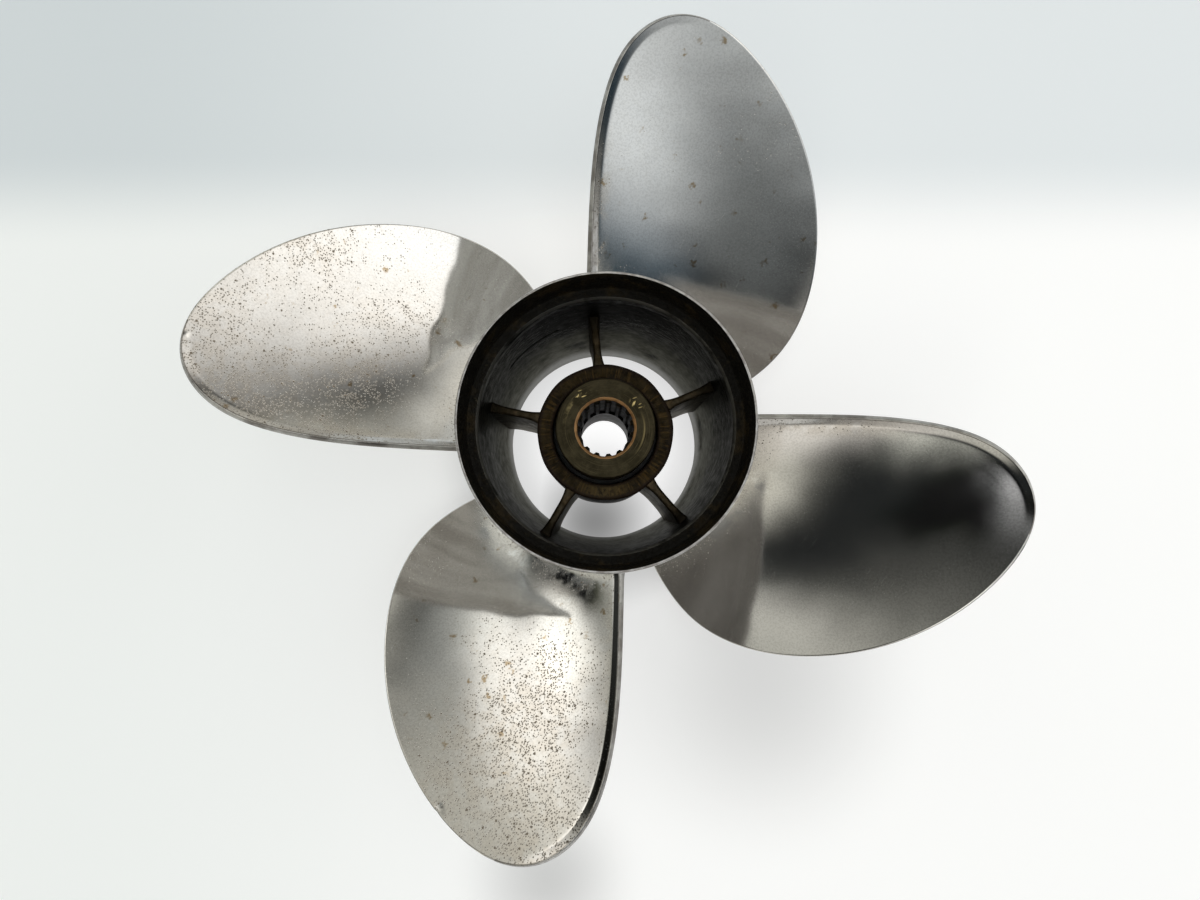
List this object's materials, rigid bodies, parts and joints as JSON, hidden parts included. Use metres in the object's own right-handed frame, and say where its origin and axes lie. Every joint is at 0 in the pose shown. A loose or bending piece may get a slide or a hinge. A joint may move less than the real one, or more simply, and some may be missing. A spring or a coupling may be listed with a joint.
{
  "type": "boat propeller, right-hand, through-hub exhaust",
  "caption": "Stainless right-hand boat propeller: wide raked blades with cupped trailing edges on a through-hub exhaust barrel, with ribs, a rubber bush and a splined bronze sleeve.",
  "frame": {"origin": "on the shaft axis, at the front end face of the hub, which is the lowest plane of the part", "axes": "+Z along the shaft axis, from the front end of the hub to its aft rim; +Y along the trailing edge of blade_1; +X completes the right-handed frame"},
  "size_m": [0.3694, 0.3694, 0.138],
  "materials": {
    "polished_stainless": "worn polish with dark corrosion pits and fine scratches",
    "satin_stainless": "satin, darkened by exhaust, with a bright nicked rim",
    "rusty_cast_steel": "as cast, stained brown by rust",
    "dull_bronze": "dull machined bronze with a bright worn chamfer",
    "black_rubber": "matt"
  },
  "bodies": {
    "root": {"outer_barrel": "satin_stainless", "inner_barrel": "rusty_cast_steel", "rubber_bush": "black_rubber", "spline_sleeve": "dull_bronze", "rib_1": "rusty_cast_steel", "rib_2": "rusty_cast_steel", "rib_3": "rusty_cast_steel", "rib_4": "rusty_cast_steel", "rib_5": "rusty_cast_steel", "blade_1": "polished_stainless", "blade_2": "polished_stainless", "blade_3": "polished_stainless", "blade_4": "polished_stainless"}
  },
  "joints": []
}
